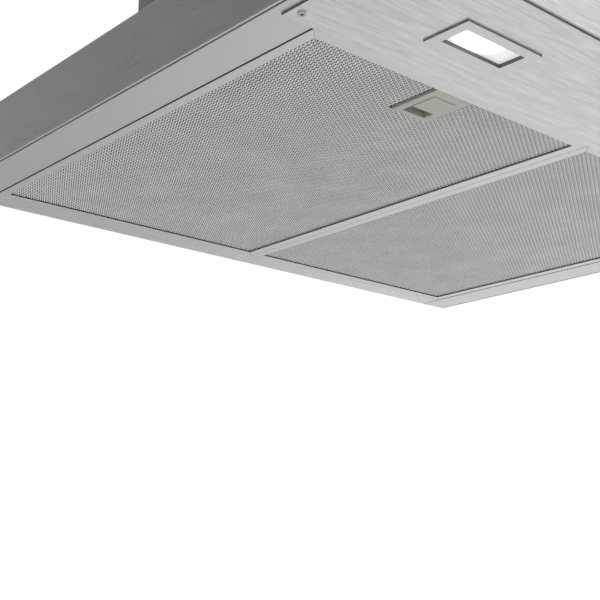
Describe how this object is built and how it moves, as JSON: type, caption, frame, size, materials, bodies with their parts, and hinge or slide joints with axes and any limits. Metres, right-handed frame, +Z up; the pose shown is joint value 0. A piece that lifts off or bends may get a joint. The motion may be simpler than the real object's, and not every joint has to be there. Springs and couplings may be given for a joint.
{
  "type": "wall-mounted chimney cooker hood",
  "caption": "Wall-mounted cooker hood: shallow brushed steel canopy with drop-down mesh grease filters, inset lamps, push buttons, blower and telescopic chimney.",
  "frame": {"origin": "middle of the hood's back face, level with the side panels' lower edge", "axes": "+Y out of the back face, towards the wall; +X to the right as seen from the front; +Z up"},
  "size_m": [0.598, 0.502, 0.6304],
  "materials": {
    "brushed_steel": "fine horizontal brushed stainless steel, satin",
    "filter_rim": "brushed stainless rim, satin",
    "filter_mesh": "expanded mesh, bright strand facets over darker layers",
    "filter_pack": "layered fine mesh, darker behind the outer sheet",
    "latch_plastic": "light grey moulded plastic, fine texture",
    "spring_steel": "bright spring steel",
    "lamp_rim": "brushed lamp bezel, satin",
    "lamp_lens": "frosted lens",
    "lamp_housing": "cast aluminium light engine, matt",
    "galvanised": "zinc coated sheet, soft spangle",
    "black_plastic": "black moulded plastic, matt",
    "button_metal": "satin metal push button",
    "board_green": "green circuit board laminate",
    "terminal_plastic": "pale moulded terminal block",
    "capacitor_case": "pale smooth capacitor case",
    "motor_case": "dark enamelled motor can",
    "screw_steel": "plated screw"
  },
  "bodies": {
    "hood": {"blower_screws": "screw_steel", "canopy_top": "brushed_steel", "capacitor": "capacitor_case", "catch_spring_left": "spring_steel", "catch_spring_right": "spring_steel", "chimney_lower": "brushed_steel", "circuit_board": "board_green", "control_board": "board_green", "control_housing": "black_plastic", "electronics_box": "black_plastic", "electronics_cover": "black_plastic", "flap_pin": "spring_steel", "front_cover_plate": "brushed_steel", "front_fascia": "brushed_steel", "front_rail": "galvanised", "lamp_bezel_left": "lamp_rim", "lamp_bezel_right": "lamp_rim", "lamp_lens_left": "lamp_lens", "lamp_lens_right": "lamp_lens", "lamp_module_left": "lamp_housing", "lamp_module_right": "lamp_housing", "mains_gland": "black_plastic", "motor": "motor_case", "motor_bracket": "galvanised", "outlet_collar": "galvanised", "plate_screws": "screw_steel", "rear_panel": "galvanised", "scroll_left": "black_plastic", "scroll_right": "black_plastic", "side_panel_left": "brushed_steel", "side_panel_right": "brushed_steel", "terminal_block": "terminal_plastic", "underside_strip_left": "brushed_steel", "underside_strip_rear": "brushed_steel", "underside_strip_right": "brushed_steel", "wall_plate": "galvanised"},
    "impeller": {"impeller": "black_plastic", "impeller_shaft": "spring_steel"},
    "flap_left": {"flap_left": "black_plastic"},
    "flap_right": {"flap_right": "black_plastic"},
    "chimney_extension": {"chimney_upper": "brushed_steel", "chimney_bracket": "galvanised", "chimney_screws": "screw_steel"},
    "button_1": {"button_1": "button_metal"},
    "button_2": {"button_2": "button_metal"},
    "button_3": {"button_3": "button_metal"},
    "button_4": {"button_4": "button_metal"},
    "button_5": {"button_5": "button_metal"},
    "filter_left": {"filter_left_frame": "filter_rim", "filter_left_outer_mesh": "filter_mesh", "filter_left_mesh_pack": "filter_pack", "latch_left_housing": "latch_plastic", "latch_left_spring": "spring_steel"},
    "latch_left": {"latch_left_slider": "latch_plastic"},
    "filter_right": {"filter_right_frame": "filter_rim", "filter_right_outer_mesh": "filter_mesh", "filter_right_mesh_pack": "filter_pack", "latch_right_housing": "latch_plastic", "latch_right_spring": "spring_steel"},
    "latch_right": {"latch_right_slider": "latch_plastic"}
  },
  "joints": [
    {"name": "filter_left_hinge", "type": "hinge", "parent": "hood", "child": "filter_left", "pos_m": [-0.132, -0.0211, 0.0004], "axis": [1, 0, 0], "range_deg": [0, 70], "deforming": ["catch_spring_left"]},
    {"name": "latch_left_slide", "type": "slide", "parent": "filter_left", "child": "latch_left", "axis": [0, 1, 0], "range_m": [0, 0.005], "stiffness_N_per_m": 150, "springref_m": -0.002, "deforming": ["latch_left_spring"]},
    {"name": "filter_right_hinge", "type": "hinge", "parent": "hood", "child": "filter_right", "pos_m": [0.132, -0.0211, 0.0004], "axis": [1, 0, 0], "range_deg": [0, 70], "deforming": ["catch_spring_right"]},
    {"name": "latch_right_slide", "type": "slide", "parent": "filter_right", "child": "latch_right", "axis": [0, 1, 0], "range_m": [0, 0.005], "stiffness_N_per_m": 150, "springref_m": -0.002, "deforming": ["latch_right_spring"]},
    {"name": "button_1_press", "type": "slide", "parent": "hood", "child": "button_1", "axis": [0, 1, 0], "range_m": [0, 0.0015], "stiffness_N_per_m": 400, "springref_m": -0.001},
    {"name": "button_2_press", "type": "slide", "parent": "hood", "child": "button_2", "axis": [0, 1, 0], "range_m": [0, 0.0015], "stiffness_N_per_m": 400, "springref_m": -0.001},
    {"name": "button_3_press", "type": "slide", "parent": "hood", "child": "button_3", "axis": [0, 1, 0], "range_m": [0, 0.0015], "stiffness_N_per_m": 400, "springref_m": -0.001},
    {"name": "button_4_press", "type": "slide", "parent": "hood", "child": "button_4", "axis": [0, 1, 0], "range_m": [0, 0.0015], "stiffness_N_per_m": 400, "springref_m": -0.001},
    {"name": "button_5_press", "type": "slide", "parent": "hood", "child": "button_5", "axis": [0, 1, 0], "range_m": [0, 0.0015], "stiffness_N_per_m": 400, "springref_m": -0.001},
    {"name": "impeller_spin", "type": "hinge", "parent": "hood", "child": "impeller", "pos_m": [0, -0.125, 0.148], "axis": [1, 0, 0], "continuous": true},
    {"name": "flap_left_hinge", "type": "hinge", "parent": "hood", "child": "flap_left", "pos_m": [0, -0.125, 0.282], "axis": [0, 1, 0], "range_deg": [0, 75]},
    {"name": "flap_right_hinge", "type": "hinge", "parent": "hood", "child": "flap_right", "pos_m": [0, -0.125, 0.282], "axis": [0, -1, 0], "range_deg": [0, 75]},
    {"name": "chimney_slide", "type": "slide", "parent": "hood", "child": "chimney_extension", "axis": [0, 0, 1], "range_m": [0, 0.326]}
  ]
}
